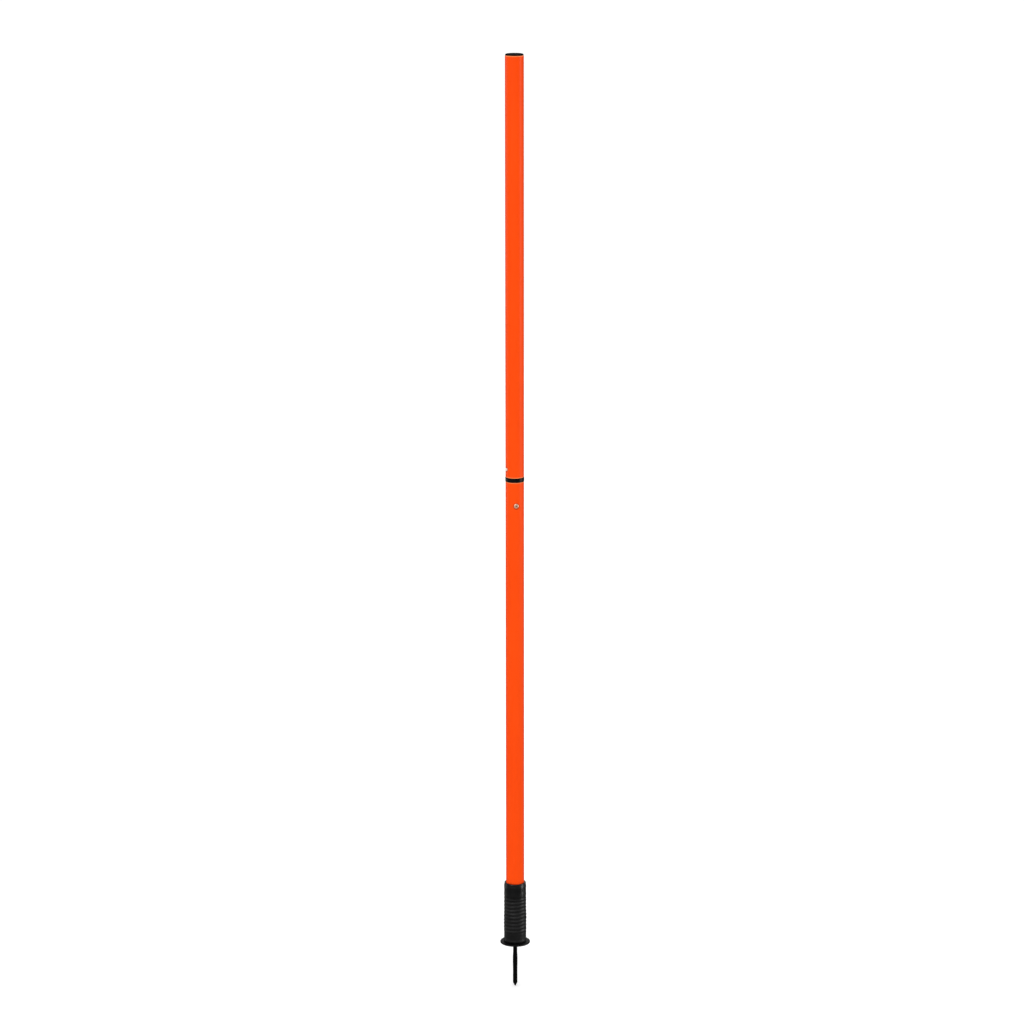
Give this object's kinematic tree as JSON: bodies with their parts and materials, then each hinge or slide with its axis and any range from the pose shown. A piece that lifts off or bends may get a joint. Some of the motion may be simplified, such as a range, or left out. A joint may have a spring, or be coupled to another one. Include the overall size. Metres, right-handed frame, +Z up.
{
  "type": "slalom pole",
  "caption": "Two-section slalom pole on a sleeved coil-spring base with a round flange and a ground spike; the upper section unplugs past a snap button.",
  "frame": {"origin": "on the pole's axis, at the underside of the flange, which lies on the ground", "axes": "+Z up along the pole, towards the cap; -Y is the front, where the joint rivet shows"},
  "size_m": [0.053, 0.053, 1.6592],
  "materials": {
    "orange_tube": "satin-gloss extruded plastic",
    "black_plastic": "moulded, satin",
    "sleeve_rubber": "soft satin skin shrunk over the spring",
    "black_painted_steel": "black coating, worn at the tip",
    "spring_steel": "bright strip",
    "dull_steel": "plain drawn wire",
    "rivet_alloy": "bare, satin"
  },
  "bodies": {
    "base": {"base_plug": "black_plastic", "spike_insert": "dull_steel", "ground_spike": "black_painted_steel"},
    "spring": {"coil_spring": "dull_steel", "spring_sleeve": "sleeve_rubber"},
    "lower_section": {"spring_socket": "black_plastic", "lower_tube": "orange_tube", "socket_rivet": "rivet_alloy", "socket_rivet_mandrel": "dull_steel", "coupler": "black_plastic", "joint_rivet": "rivet_alloy", "joint_rivet_mandrel": "dull_steel"},
    "clip": {"snap_clip": "spring_steel"},
    "upper_section": {"upper_tube": "orange_tube", "top_cap": "black_plastic"}
  },
  "joints": [
    {"name": "lean_front_back", "type": "hinge", "parent": "base", "child": "spring", "pos_m": [0, 0, 0.035], "axis": [1, 0, 0], "range_deg": [-75, 75], "stiffness_Nm_per_rad": 6, "deforming": ["coil_spring", "spring_sleeve"]},
    {"name": "lean_sideways", "type": "hinge", "parent": "spring", "child": "lower_section", "pos_m": [0, 0, 0.065], "axis": [0, 1, 0], "range_deg": [-75, 75], "stiffness_Nm_per_rad": 6, "deforming": ["coil_spring", "spring_sleeve"]},
    {"name": "button_press", "type": "slide", "parent": "lower_section", "child": "clip", "axis": [0.8829, 0.4695, 0], "range_m": [0, 0.0041], "stiffness_N_per_m": 2000, "deforming": ["snap_clip"]},
    {"name": "upper_section_lift", "type": "slide", "parent": "lower_section", "child": "upper_section", "axis": [0, 0, 1], "range_m": [0, 0.062], "deforming": ["snap_clip"]}
  ]
}
